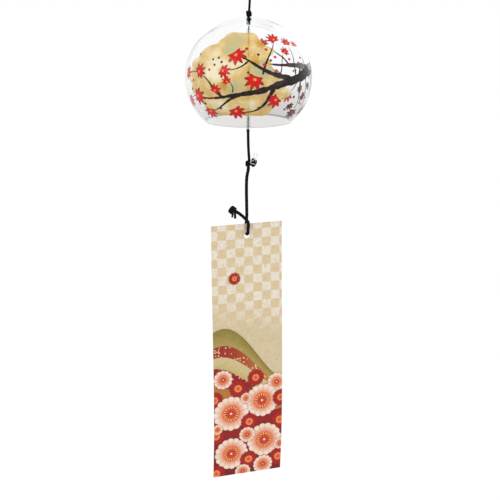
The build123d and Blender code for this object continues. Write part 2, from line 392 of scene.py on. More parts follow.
def strandSurface(line, across, radius, sides, plies, lay, groove, closed=False):
    # rings square to the line, zero angle towards `across`; each ply is a rounded ridge that winds once per lay
    if closed:
        ahead, back = np.roll(line, -1, 0), np.roll(line, 1, 0)
        along = unit(ahead - back)
        steps = np.linalg.norm(ahead - line, axis=1)
    else:
        along = unit(np.gradient(line, axis=0))
        steps = np.linalg.norm(np.diff(line, axis=0), axis=1)
    far = np.r_[0, np.cumsum(steps)]
    rows = far[:len(line)]
    across = np.asarray(across, float)
    side = unit(across - (along @ across)[:, None] * along)
    other = np.cross(along, side)
    angle = np.linspace(0, 2 * np.pi, sides, endpoint=False)
    turns = far[-1] / lay
    if closed:
        turns = round(turns * plies) / plies
    ply = plies * (angle / (2 * np.pi) - (turns * rows / far[-1])[:, None])
    saw = 2 * (ply - np.floor(ply)) - 1
    reach = radius * (1 - groove * (1 - np.sqrt(1 - saw ** 2)))
    if not closed:
        ends = np.minimum(rows, far[-1] - rows) / (cordShape["endRound"] * radius * 2)
        reach = reach * np.sqrt(1 - (1 - np.clip(ends, 0.08, 1)) ** 2)[:, None]
    ring = np.cos(angle)[:, None] * side[:, None] + np.sin(angle)[:, None] * other[:, None]
    points = line[:, None] + reach[..., None] * ring
    quads = gridQuads(len(line), sides, closed, True)
    i, j = np.meshgrid(np.arange(len(line) - (0 if closed else 1)), np.arange(sides), indexing="ij")
    i, j = i.ravel(), j.ravel()
    around = np.arange(sides + 1) * 2 * np.pi * radius / sides
    corners = np.stack([np.c_[far[i], around[j]], np.c_[far[i], around[j + 1]],
                        np.c_[far[i + 1], around[j + 1]], np.c_[far[i + 1], around[j]]], 1)
    return points.reshape(-1, 3), quads, corners


def strandFaces(points, quads, corners, sides, closed):
    # faces turned outwards, with a flat cap on each end of an open strand, and a corner map that matches
    if not facesOutward(points, quads):
        quads, corners = quads[:, ::-1], corners[:, ::-1]
    faces, flat = quads.tolist(), corners.reshape(-1, 2)
    if not closed:
        first, last = np.arange(sides), len(points) - sides + np.arange(sides)
        startsForward = [quads[0][k:] .tolist() + quads[0][:k].tolist() for k in range(4)]
        forward = any(row[:2] == [0, 1] for row in startsForward)
        faces += [(first[::-1] if forward else first).tolist(), (last if forward else last[::-1]).tolist()]
        flat = np.r_[flat, np.zeros((2 * sides, 2))]
    return faces, flat


def strandPiece(name, line, across, diameter, material, body, replaced, plies=cordShape["plies"],
                groove=cordShape["groove"], ridge=cordShape["ridge"], closed=False):
    # a cord with its plies, which stand proud of the cord's own size by the ridge
    lay = diameter / cordShape["layTurns"]
    sides = cordShape["sides"]
    points, quads, corners = strandSurface(line, across, diameter / 2 * ridge, sides, plies, lay, groove, closed)
    faces, flat = strandFaces(points, quads, corners, sides, closed)
    return makePiece(name, points, faces, [material], body, replaced, flat)


# heights of the knots, down from the hook point
knotHeights = {"loop": -32.0, "tubeEnd": -133.3, "joining": -155.6, "stripTop": -195.0}
stripPlace = {"turned": 18.8, "shift": -0.5}  # how the paper hangs, degrees and millimetres


def onStrip(side, front, up):
    # a place along the strip's width, in front of it, and up from its top edge
    turn = math.radians(stripPlace["turned"])
    x = stripPlace["shift"] + side * np.cos(turn) + front * np.sin(turn)
    y = side * np.sin(turn) - front * np.cos(turn)
    return np.stack(np.broadcast_arrays(x, y, knotHeights["stripTop"] + up), -1)


loopCord = {
    "diameter": 1.3, "length": 73.0, "across": (0, 1, 0),
    "route": [(-0.5, 0.6), (-2.3, 5.4), (-4.5, 12.6), (-6.0, 20.6), (-6.5, 26.4), (-5.3, 30.7), (-2.4, 32.65),
              (2.3, 32.65), (5.2, 30.5), (6.2, 26.2), (5.6, 20.2), (4.2, 12.4), (2.2, 5.4), (0.5, 0.6)],
}
hangerCord = {
    "diameter": 1.3, "length": 33.2, "across": (0, 1, 0),
    "route": [(0.0, 1.2), (0.0, 3.25), (0.4, 9.0), (0.7, 16.0), (0.55, 23.0), (0.05, 29.4), (0.0, 34.4)],
}
dropCord = {
    "diameter": 1.5, "ridge": 1.2, "across": (0, 1, 0),
    "route": [(0.0, 1.3), (0.0, 2.65), (0.1, 8.0), (0.35, 14.5), (0.9, 21.0)],
}
stripCord = {
    "diameter": 1.85, "length": 33.5, "across": (0, 1, 0),
    "route": [(0.3, 1.6), (0.4, 3.3), (-0.3, 6.2), (-0.85, 10.0), (-0.85, 19.0), (-0.65, 27.5), (-0.5, 35.0)],
}
tieCord = {
    "diameter": 1.85, "length": 35.1, "across": (0.5, 0.2, 0.87),
    "route": [(-8.6, 0.5, 9.2), (-6.1, 0.8, 7.8), (-3.6, 1.4, 5.6), (-1.3, 2.2, 3.4), (0.5, 2.3, 0.9),
              (0.3, 1.9, -2.4), (0.0, 2.3, -7.0), (0.0, -2.3, -7.0), (0.0, -1.8, -2.6), (0.0, -1.4, 0.6),
              (0.0, 0.0, 4.9)],
}
tubeThread = {"diameter": 0.8, "ridge": 0.94, "length": 65.6, "top": -68.65, "bottom": -134.3, "across": (0, 1, 0)}


def downRoute(cord, topZ):
    return [(across, 0, topZ - down) for across, down in cord["route"]]


step = cordShape["ringStep"]
loopRoute = [(across, 0, knotHeights["loop"] + up) for across, up in loopCord["route"]]
loopLine = routeLine("loop route", loopRoute, step)
hangerLine = routeLine("hanger route", downRoute(hangerCord, knotHeights["loop"]), step)
dropLine = routeLine("drop route", downRoute(dropCord, knotHeights["tubeEnd"]), step)
stripLine = routeLine("strip route", downRoute(stripCord, knotHeights["joining"]), step)
tieLine = routeLine("tie route", [onStrip(*place) for place in tieCord["route"]], step)
threadHeights = np.linspace(tubeThread["top"], tubeThread["bottom"], 5)
threadLine = routeLine("thread route", np.c_[0 * threadHeights, 0 * threadHeights, threadHeights], step)

loopPiece = strandPiece("loop_cord", loopLine, loopCord["across"], loopCord["diameter"], blackCord, "loop",
                        ["hanging_loop"])
hangerPiece = strandPiece("crown_cord", hangerLine, hangerCord["across"], hangerCord["diameter"], blackCord, "hanger",
                          ["hanger_cord"])
dropPiece = strandPiece("upper_strip_cord", dropLine, dropCord["across"], dropCord["diameter"], blackCord, "drop",
                        ["drop_cord"], ridge=dropCord["ridge"])
stripCordPiece = strandPiece("lower_strip_cord", stripLine, stripCord["across"], stripCord["diameter"], blackCord,
                             "lower_cord", ["strip_cord"])
tiePiece = strandPiece("paper_tie_cord", tieLine, tieCord["across"], tieCord["diameter"], blackCord, "strip",
                       ["strip_tie"])
threadPiece = strandPiece("tube_thread", threadLine, tubeThread["across"], tubeThread["diameter"], darkThread, "clapper",
                          ["clapper_thread"], plies=2, groove=0.16, ridge=tubeThread["ridge"])
print("cords made")


# Knots

knotShape = {"rings": 170, "sides": 18, "groove": 0.08}


def turned(points, leanY=0.0, turnZ=0.0):
    # turns points about Y, then about Z, in degrees
    y, z = math.radians(leanY), math.radians(turnZ)
    aboutY = np.array([[math.cos(y), 0, math.sin(y)], [0, 1, 0], [-math.sin(y), 0, math.cos(y)]])
    aboutZ = np.array([[math.cos(z), -math.sin(z), 0], [math.sin(z), math.cos(z), 0], [0, 0, 1]])
    return points @ (aboutZ @ aboutY).T


def knotTurns(width, height, strand, start=0.0):
    # a tight overhand knot: the trefoil (sin t + 2 sin 2t, cos t - 2 cos 2t, -sin 3t), scaled to the knot's size
    t = np.linspace(0, 2 * np.pi, knotShape["rings"], endpoint=False)
    reach, rise = (width - strand) / 2, (height - strand) / 2
    flat = np.c_[np.sin(t) + 2 * np.sin(2 * t), np.cos(t) - 2 * np.cos(2 * t)] / 3
    return turned(np.c_[flat * reach, -np.sin(3 * t) * rise], turnZ=start)


def knotStrand(width, height, strand, start=0.0):
    line = knotTurns(width, height, strand, start)
    lay = strand / cordShape["layTurns"]
    return strandSurface(line, (0, 0, 1), strand / 2, knotShape["sides"], cordShape["plies"], lay,
                         knotShape["groove"], True)


def joinStrands(strands):
    # several closed or open strands as one set of points, faces and corner maps
    points, faces, corners, count = [], [], [], 0
    for (strandPoints, quads, map2), closed in strands:
        made, flat = strandFaces(strandPoints, quads, map2, knotShape["sides"], closed)
        faces += [[index + count for index in face] for face in made]
        points.append(strandPoints)
        corners.append(flat)
        count += len(strandPoints)
    return np.concatenate(points), faces, np.concatenate(corners)


def knotPiece(name, strands, body, node):
    points, faces, corners = joinStrands(strands)
    return makePiece(name, points, faces, [blackCord], body, [node], corners)


def boxKnot(name, node, strand, body, start, fuller=1.0, lean=0.0):
    # one knot that fills its node's box; a fuller one swells to the sides and upwards
    low, high = (np.array(corner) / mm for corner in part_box(node))
    size = (high - low) * fuller
    middle = (low + high) / 2 + (0, 0, (size[2] - high[2] + low[2]) / 2)
    points, quads, corners = knotStrand(size[0], size[2], strand, start)
    return knotPiece(name, [((turned(points, lean) + middle, quads, corners), True)], body, node)


knotStrands = {"loop": 1.45, "crown": 1.5, "stopper": 1.15, "tube": 0.8}
loopKnot = boxKnot("loop_overhand_knot", "loop_knot", knotStrands["loop"], "loop", 20)
crownKnot = boxKnot("crown_overhand_knot", "crown_knot", knotStrands["crown"], "hanger", 70, 1.16, -22.0)
stopperKnot = boxKnot("stopper_overhand_knot", "stopper_knot", knotStrands["stopper"], "hanger", 40)
tubeKnot = boxKnot("tube_overhand_knot", "tube_knot", knotStrands["tube"], "clapper", 10)

# width, height and strand of each set of turns, then how it sits from the joining knot's middle
joiningKnot = {
    "left": {"size": (3.4, 4.2, 1.4), "place": (0.0, 0.0, 0.0), "lean": 0.0, "start": 30},
    "right": {"size": (4.8, 5.2, 1.8), "place": (3.2, 0.0, 0.75), "lean": 25.0, "start": 75},
}


def lobe(spec, middle):
    points, quads, corners = knotStrand(*spec["size"], spec["start"])
    return (turned(points, spec["lean"]) + np.array(spec["place"]) + middle, quads, corners), True


joiningMiddle = np.array([0, 0, knotHeights["joining"]])
joiningPiece = knotPiece("joining_overhand_knot", [lobe(joiningKnot[key], joiningMiddle) for key in joiningKnot],
                         "drop", "joining_knot")

endKnot = {
    "size": (4.8, 5.5, 1.9), "place": (-9.9, 0.4, 9.6), "lean": 35.0, "start": 15,
    # thickness and length of each cut end, then where it starts and how far it splays
    "tails": [(1.3, 4.9, 0.2, -0.5), (1.6, 5.8, 1.7, 0.1)],
}


def cutTail(thick, length, side, splay, middle):
    # short cut end: a straight strand down from the knot, splayed to its side by the square of its length
    share = np.linspace(0, 1, 28)
    line = np.c_[side + splay * share ** 2, 0 * share, -length * share]
    line = turned(line, turnZ=stripPlace["turned"]) + middle
    surface = strandSurface(line, (0, 1, 0), thick / 2, knotShape["sides"], 2, thick / cordShape["layTurns"],
                            cordShape["groove"])
    return surface, False


endMiddle = onStrip(*endKnot["place"])
endPoints, endQuads, endCorners = knotStrand(*endKnot["size"], endKnot["start"])
endPoints = turned(endPoints, endKnot["lean"], stripPlace["turned"]) + endMiddle
endTails = [cutTail(*tail, endMiddle) for tail in endKnot["tails"]]
endPiece = knotPiece("end_overhand_knot", [((endPoints, endQuads, endCorners), True), *endTails], "strip", "end_knot")

# the nylon end: across, towards the viewer, and up from the joining knot; it lies over the knot, then stands up
nylonEnd = {
    "diameter": 0.55,
    "route": [(4.6, 1.9, -0.1), (3.9, 2.6, 0.2), (2.9, 2.9, 0.6), (1.6, 2.7, 0.9), (1.6, 2.5, 2.0), (2.9, 2.4, 2.4),
              (3.9, 1.6, 2.6), (4.2, 0.7, 4.0), (3.4, 0.3, 5.4), (4.2, 0.3, 6.7), (6.4, 0.3, 6.3), (6.4, 0.3, 5.0),
              (4.9, 0.5, 4.4), (4.8, 1.2, 2.9), (5.1, 1.3, 1.4)],
}
nylonRoute = [(x, -front, knotHeights["joining"] + up) for x, front, up in nylonEnd["route"]]
nylonLine = routeLine("nylon route", nylonRoute, 0.12)
nylonPiece = strandPiece("nylon_end", nylonLine, (0.3, 1, 0.1), nylonEnd["diameter"], nylonMaterial(), "drop",
                         ["clear_tail"], plies=1, groove=0.0, ridge=1.0)
print("knots made")


# Glass bell

bell = {
    "crownHeight": 37.4, "mouthDrop": 27.0, "wall": 1.3, "crownExtra": 0.35, "hole": 2.4,
    "holeTopRound": 0.8, "holeEdgeRound": 0.3, "rimRound": 0.35,
    "around": 224, "down": 96, "rounds": 6,
    "wave": 0.05, "waves": 5, "evenMouth": 18.0,  # blown glass is never quite round, but its mouth is ground true
}
bellLow, bellHigh = (np.array(corner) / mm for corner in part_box("glass_bell"))
bell["radius"] = (bellHigh[0] - bellLow[0]) / 2
bell["mouthZ"] = bellLow[2]
bell["equatorZ"] = bell["mouthZ"] + bell["mouthDrop"]
bell["innerRadius"] = bell["radius"] - bell["wall"]
bell["innerHeight"] = bell["crownHeight"] - bell["wall"]
bell["innerZ"] = bell["equatorZ"] - bell["crownExtra"]


def ellipseArc(radius, height, middleZ, fromAngle, toAngle, count):
    # radius and height along an ellipse, angles counted from its top
    angle = np.linspace(fromAngle, toAngle, count)
    return np.c_[radius * np.sin(angle), middleZ + height * np.cos(angle)]


def roundCorner(before, corner, after, count):
    # a parabola from one side of a corner to the other: the corner's pull falls off as 2t(1 - t)
    t = np.linspace(0, 1, count + 2)[1:-1, None]
    return (1 - t) ** 2 * before + 2 * t * (1 - t) * corner + t ** 2 * after


def bellProfile():
    # closed section of the wall: outer ellipse from hole to mouth, ground rim, inner ellipse back to the hole
    hole = bell["hole"] / 2
    outer = (bell["radius"], bell["crownHeight"], bell["equatorZ"])
    inner = (bell["innerRadius"], bell["innerHeight"], bell["innerZ"])
    rim = bell["rimRound"]
    outerTop = math.asin((hole + bell["holeTopRound"]) / outer[0])
    outerMouth = math.acos((bell["mouthZ"] + rim - outer[2]) / outer[1])
    innerMouth = math.acos((bell["mouthZ"] + rim - inner[2]) / inner[1])
    innerTop = math.asin((hole + bell["holeEdgeRound"]) / inner[0])
    outerWall = ellipseArc(*outer, outerTop, outerMouth, bell["down"])
    innerWall = ellipseArc(*inner, innerMouth, innerTop, bell["down"])
    outerCorner = np.array([outer[0] * math.sqrt(1 - ((bell["mouthZ"] - outer[2]) / outer[1]) ** 2), bell["mouthZ"]])
    innerCorner = np.array([inner[0] * math.sqrt(1 - ((bell["mouthZ"] - inner[2]) / inner[1]) ** 2), bell["mouthZ"]])
    rimFlat = np.array([outerCorner - (rim, 0), innerCorner + (rim, 0)])
    rounds = bell["rounds"]
    outerRound = roundCorner(outerWall[-1], outerCorner, rimFlat[0], rounds)
    innerRound = roundCorner(rimFlat[1], innerCorner, innerWall[0], rounds)
    holeLow = np.array([hole, innerWall[-1][1] + bell["holeEdgeRound"]])
    holeHigh = np.array([hole, outerWall[0][1] - bell["holeTopRound"] * 0.8])
    lowRound = roundCorner(innerWall[-1], np.array([hole, innerWall[-1][1]]), holeLow, rounds)
    highRound = roundCorner(holeHigh, np.array([hole, outerWall[0][1]]), outerWall[0], rounds)
    section = np.concatenate([outerWall, outerRound, rimFlat, innerRound, innerWall, lowRound, [holeLow, holeHigh],
                              highRound])
    ground = np.arange(len(section))
    ground = (ground >= len(outerWall) - 1) & (ground < len(outerWall) + 2 * rounds + 2)
    return section, ground


def makeBell():
    # the section turned about Z, its radius waving slightly round the bell as blown glass does
    section, ground = bellProfile()
    angle = np.linspace(0, 2 * np.pi, bell["around"], endpoint=False)
    lift = smooth(bell["hole"], bell["radius"] * 0.7, section[:, 0])
    lift *= smooth(bell["mouthZ"], bell["mouthZ"] + bell["evenMouth"], section[:, 1])
    drift = np.sin(angle * 2 + 0.6)[None] * 0.6 + np.sin(angle * bell["waves"] + section[:, 1:] * 0.12) * 0.4
    radius = section[:, :1] - bell["wave"] * lift[:, None] * (1 + drift)
    points = np.stack([radius * np.cos(angle), radius * np.sin(angle),
                       np.broadcast_to(section[:, 1:], radius.shape)], -1).reshape(-1, 3)
    quads = gridQuads(len(section), len(angle), True, True)
    if not facesOutward(points, quads):
        quads = quads[:, ::-1]
    materials = [glassMaterial("clear blown glass", 0.0, 1.0), glassMaterial("ground glass rim", 0.6, 0.4)]
    piece = makePiece("blown_glass_bell", points, quads.tolist(), materials, "bell", ["glass_bell"])
    piece.data.polygons.foreach_set("material_index", np.repeat(ground, len(angle)).astype(np.int32))
    return piece


bellPiece = makeBell()
print("glass bell made")


# Tube clapper

tube = {"bore": 1.4, "endRound": 0.25, "around": 48, "rounds": 6, "down": 60}


def makeTube():
    # drawn tube: two straight walls, joined over rounded ends
    low, high = (np.array(corner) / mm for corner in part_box("clapper_tube"))
    outer, inner, soft = (high[0] - low[0]) / 2, tube["bore"] / 2, tube["endRound"]
    heights = np.linspace(high[2] - soft, low[2] + soft, tube["down"])
    outerWall = np.c_[np.full(tube["down"], outer), heights]
    innerWall = np.c_[np.full(tube["down"], inner), heights[::-1]]
    rounds = tube["rounds"]
    section = np.concatenate([
        outerWall,
        roundCorner(outerWall[-1], np.array([outer, low[2]]), np.array([outer - soft, low[2]]), rounds),
        roundCorner(np.array([inner + soft, low[2]]), np.array([inner, low[2]]), innerWall[0], rounds),
        innerWall,
        roundCorner(innerWall[-1], np.array([inner, high[2]]), np.array([inner + soft, high[2]]), rounds),
        roundCorner(np.array([outer - soft, high[2]]), np.array([outer, high[2]]), outerWall[0], rounds),
    ])
    angle = np.linspace(0, 2 * np.pi, tube["around"], endpoint=False)
    points = np.stack([section[:, :1] * np.cos(angle), section[:, :1] * np.sin(angle),
                       np.broadcast_to(section[:, 1:], (len(section), len(angle)))], -1).reshape(-1, 3)
    quads = gridQuads(len(section), len(angle), True, True)
    if not facesOutward(points, quads):
        quads = quads[:, ::-1]
    return makePiece("drawn_glass_tube", points, quads.tolist(), [tubeMaterial()], "clapper",
                     ["clapper_tube"])


tubePiece = makeTube()
print("tube clapper made")


# Painting on the inside of the glass, in degrees: turn from the front to the right, rise from the widest ring

# depths are from the inner wall; the films' fronts lie just within the glass, so that no air shows between
paint = {"leafDepth": -0.24, "branchDepth": -0.19, "goldDepth": -0.13, "film": 0.03, "goldFilm": 0.17,
         "strokeStep": 0.001}


def onWall(turn, rise, depth):
    # a place on the glass's inner ellipse, moved inwards along its normal by depth
    turn, rise = np.radians(turn), np.radians(rise)
    a, c = bell["innerRadius"] - 1.6 * bell["wave"], bell["innerHeight"]
    normal = unit(np.stack([np.cos(rise) / a, np.sin(rise) / c], -1))
    radius = a * np.cos(rise) - normal[..., 0] * depth
    height = bell["innerZ"] + c * np.sin(rise) - normal[..., 1] * depth
    return np.stack([radius * np.sin(turn), -radius * np.cos(turn), height], -1)


def filmFaces(rows, columns, closedColumns):
    # two layers of a grid, joined along their border, for one film of paint; a closed film's middle gets a cap
    count = rows * columns
    quads = gridQuads(rows, columns, False, closedColumns)
    index = np.arange(count).reshape(rows, columns)
    if closedColumns:
        border = index[-1]
        caps = [index[0], index[0][::-1] + count]
    else:
        border = np.r_[index[0, :-1], index[:-1, -1], index[-1, :0:-1], index[:0:-1, 0]][::-1]
        caps = []
    ahead = np.roll(border, -1)
    walls = np.stack([border, ahead, ahead + count, border + count], -1)
    return np.concatenate([quads[:, ::-1], quads + count, walls]), caps


def makeFilms(name, turn, rise, depth, film, closedColumns, material, heart=None):
    # a stack of paint films, each a grid of turn and rise; a film's two faces lie at depth and a film's thickness behind
    films, rows, columns = turn.shape
    depth = np.broadcast_to(np.reshape(depth, (-1, 1, 1)), turn.shape)
    points = np.stack([onWall(turn, rise, depth), onWall(turn, rise, depth + film)], 1).reshape(films, -1, 3)
    quads, caps = filmFaces(rows, columns, closedColumns)
    if not facesOutward(points[0], quads):
        quads, caps = quads[:, ::-1], [cap[::-1] for cap in caps]
    starts = np.arange(films) * points.shape[1]
    faces = (quads[None] + starts[:, None, None]).reshape(-1, 4).tolist()
    for cap in caps:
        faces += (cap + starts[:, None]).tolist()
    piece = makePiece(name, points, faces, [material], "bell")
    if heart is not None:
        values = np.broadcast_to(heart[:, None], (films, 2, rows, columns)).ravel()
        piece.data.attributes.new("heart", "FLOAT", "POINT").data.foreach_set("value", values.astype(np.float32))
    return piece


mist = {
    # each bar of the mist: how far it reaches left and right, from the top bar down
    "left": (-26, -46, -58, -62, -54, -38), "right": (6, 22, 14, 30, 36, 16),
    "top": 55.0, "bottom": -30.0, "bulge": 7.0, "rows": 96, "columns": 90,
}


def makeMist():
    # a bank of gold mist: rows of round-ended bars, whose ends swell by the root of a half wave
    share = np.linspace(0, 1, mist["rows"])
    bars = len(mist["left"])
    centres = (np.arange(bars) + 0.5) / bars
    swell = mist["bulge"] * np.abs(np.sin(np.pi * bars * share)) ** 0.55
    left = np.interp(share, centres, mist["left"]) - swell
    right = np.interp(share, centres, mist["right"]) + swell
    across = np.linspace(0, 1, mist["columns"])
    turn = left[:, None] + (right - left)[:, None] * across
    rise = np.broadcast_to((mist["top"] + (mist["bottom"] - mist["top"]) * share)[:, None], turn.shape)
    return makeFilms("painted_gold_mist", turn[None], rise[None], paint["goldDepth"], paint["goldFilm"], False,
                     goldMaterial())


def bezier(places, share):
    # one smooth stroke through control places: the binomial weights of n places
    places = np.asarray(places, float)
    last = len(places) - 1
    weights = [math.comb(last, k) * share ** k * (1 - share) ** (last - k) for k in range(last + 1)]
    return np.stack(weights, -1) @ places


branch = {
    "along": 90, "across": 7,
    # widths at the start and end in degrees, then the places that the stroke bends towards
    "strokes": [
        (13.0, 6.0, [(90, 11), (72, 18), (54, 0), (36, 6), (16, -3)]),
        (12.6, 1.0, [(86, 12), (104, 4), (122, 20), (142, 2), (168, 12)]),
        (3.0, 0.6, [(116, 11), (124, 2), (122, -10), (132, -18)]),
        (2.6, 0.6, [(136, 9), (140, 18), (150, 22), (160, 30)]),
        (6.6, 1.2, [(20, -1), (4, -9), (-12, -3), (-30, -17), (-48, -12)]),
        (6.2, 1.4, [(42, 5), (30, 11), (14, 8), (6, 26), (-10, 28)]),
        (4.6, 0.9, [(24, -2), (17, -10), (19, -20), (6, -28), (-8, -25)]),
        (3.6, 0.8, [(-6, -8), (-18, -10), (-22, -20), (-36, -26)]),
        (3.2, 0.7, [(-22, -12), (-33, -4), (-36, 5), (-47, 9)]),
        (2.4, 0.7, [(13, 11), (16, 24), (24, 32), (31, 42)]),
        (1.8, 0.6, [(0, 24), (-8, 15), (-20, 15)]),
        (2.2, 0.6, [(54, 5), (50, -8), (57, -16), (51, -26)]),
        (1.5, 0.5, [(62, 9), (64, -4), (62, -14), (68, -26)]),
        (1.3, 0.5, [(74, 13), (76, 2), (74, -10), (78, -22)]),
        (1.7, 0.5, [(49, 5), (44, 16), (52, 26), (49, 36)]),
        (1.3, 0.5, [(-46, -12), (-56, -10), (-66, -16)]),
        (1.3, 0.5, [(-45, 9), (-55, 13), (-66, 8)]),
        (1.2, 0.5, [(64, 13), (66, 22), (62, 34)]),
        (1.2, 0.5, [(80, 14), (84, 0), (82, -14), (86, -26)]),
        (1.4, 0.5, [(28, 8), (34, 16), (32, 24), (38, 30)]),
        (1.2, 0.5, [(-14, -6), (-12, 0), (-18, 5)]),
    ],
}


def makeBranch():
    # brush strokes: a smooth line with a tapering width, laid square to it and rough along its edges
    share = np.linspace(0, 1, branch["along"])
    q = np.linspace(-1, 1, branch["across"])
    turns, rises, depths = [], [], []
    for order, (wide, thin, places) in enumerate(branch["strokes"]):
        line = bezier(places, share)
        level = np.cos(np.radians(line[:, 1]))
        ahead = unit(np.gradient(line, axis=0) * np.c_[level, np.ones_like(level)])
        rough = 1 + 0.10 * np.sin(31 * share + order) + 0.07 * np.sin(67 * share + 2 * order)
        tip = np.sqrt(np.clip(1 - (2 * share - 1) ** 10, 0.02, 1))
        width = (thin + (wide - thin) * (1 - share) ** 1.3) * rough * tip / 2
        turns.append(line[:, :1] - ahead[:, 1:] * (width / level)[:, None] * q)
        rises.append(line[:, 1:] + ahead[:, :1] * width[:, None] * q)
        depths.append(paint["branchDepth"] + order * paint["strokeStep"])
    return makeFilms("painted_branch", np.array(turns), np.array(rises), depths, paint["film"], False,
                     barkMaterial())


leaves = {
    "rings": 5, "between": 4,  # rings of points from heart to rim, and points from a tip to the next notch
    # outline of half a leaf: degrees from its tip, and reach as a share of its size
    "angleShares": (0, 17, 36, 55, 75, 96, 116, 142, 180),
    "reachShares": (1.0, 0.52, 0.97, 0.50, 0.86, 0.44, 0.62, 0.28, 0.22),
    # turn, rise, size and lean, all in degrees, then 1 for a dark leaf
    "places": [
        (-13, 30, 11.4, 140, 0), (-53, -12, 11.0, 100, 0), (-12, -24, 10.4, 150, 0), (6, 7, 11.6, 200, 0),
        (-40, -26, 9.2, 190, 0), (-51, 11, 9.6, 60, 0), (33, 45, 8.6, -20, 0), (51, -28, 9.0, 190, 1),
        (-24, 14, 8.4, 110, 0), (49, 40, 7.0, 10, 0), (-70, -18, 9.0, 120, 0), (-71, 8, 8.4, 80, 0),
        (69, -28, 8.0, 170, 1), (26, -13, 9.8, 230, 0), (79, -24, 6.6, 190, 1), (62, 37, 6.0, 20, 0),
        (-31, -5, 7.4, 30, 0), (58, -12, 6.4, 130, 1), (40, 31, 6.2, 40, 0), (66, -4, 5.4, 60, 1), (-19, 4, 5.6, 330, 0),
        (43, -20, 6.0, 160, 1), (86, -27, 6.0, 200, 1), (163, 32, 9.4, 40, 0), (134, -21, 9.6, 170, 0),
        (172, 13, 9.0, 90, 0), (118, -12, 6.4, 220, 1), (150, 1, 7.0, 140, 0), (206, -12, 7.6, 150, 0), (238, 20, 7.0, -30, 0),
    ],
    # small buds, turn and rise, with their size, then 1 for a dark one
    "buds": [
        (-2, 36, 1.5, 0), (-26, 22, 1.2, 1), (-33, 19, 1.1, 1), (19, 35, 1.3, 0), (27, 27, 1.3, 0), (43, 24, 1.3, 0),
        (57, -19, 1.3, 1), (61, -21, 1.2, 0), (-44, -19, 1.2, 1), (-27, -22, 1.4, 1), (-58, 2, 1.2, 0), (10, -21, 1.3, 1),
        (15, 20, 1.5, 0), (-38, 14, 1.2, 0), (66, -15, 1.2, 0), (-60, -6, 1.1, 1), (36, 19, 1.2, 1), (70, 4, 1.2, 0),
        (-30, 26, 1.1, 1), (-36, 24, 1.0, 1), (48, 13, 1.2, 1), (54, 20, 1.1, 0), (60, 24, 1.1, 1), (74, -8, 1.1, 1),
        (46, -12, 1.3, 1), (38, -24, 1.2, 1), (-34, -12, 1.1, 0), (22, 24, 1.1, 1), (10, 30, 1.2, 1), (0, 13, 1.1, 1),
        (130, 4, 1.3, 0), (152, -4, 1.2, 0), (178, 10, 1.3, 1), (210, 4, 1.2, 0), (238, -22, 1.3, 0),
    ],
}


def makeLeaves():
    # seven-lobed leaves: reach runs straight between tips and notches as the angle goes round, rings fill it in
    share = np.linspace(0.1, 1, leaves["rings"])[:, None]
    corners = np.arange(len(leaves["angleShares"]))
    fine = np.linspace(0, corners[-1], corners[-1] * leaves["between"] + 1)
    half = np.interp(fine, corners, leaves["angleShares"])
    angle = np.r_[half[:-1], -half[:0:-1]]
    outline = np.interp(np.abs(angle), leaves["angleShares"], leaves["reachShares"])
    places = np.array(leaves["places"] + [(*bud[:3], 0, bud[3]) for bud in leaves["buds"]], float)
    isBud = np.arange(len(places)) >= len(leaves["places"])
    reach = np.where(isBud[:, None], 1.0, outline) * places[:, 2:3]
    heading = np.radians(angle + places[:, 3:4])
    rise = places[:, 1, None, None] + (reach * np.cos(heading))[:, None] * share
    level = np.cos(np.radians(rise))
    turn = places[:, 0, None, None] + (reach * np.sin(heading))[:, None] * share / level
    heart = np.broadcast_to(np.where(isBud[:, None, None], 0.3, share * 0.5), turn.shape)
    heart = heart + places[:, 4, None, None] * 0.5
    depths = paint["leafDepth"] + 0.0006 * np.arange(len(places))
    return makeFilms("painted_leaves", turn, rise, depths, paint["film"], True, leafMaterial(), heart)


mistPiece = makeMist()
branchPiece = makeBranch()
leavesPiece = makeLeaves()
print("painting made")


# Paper strip

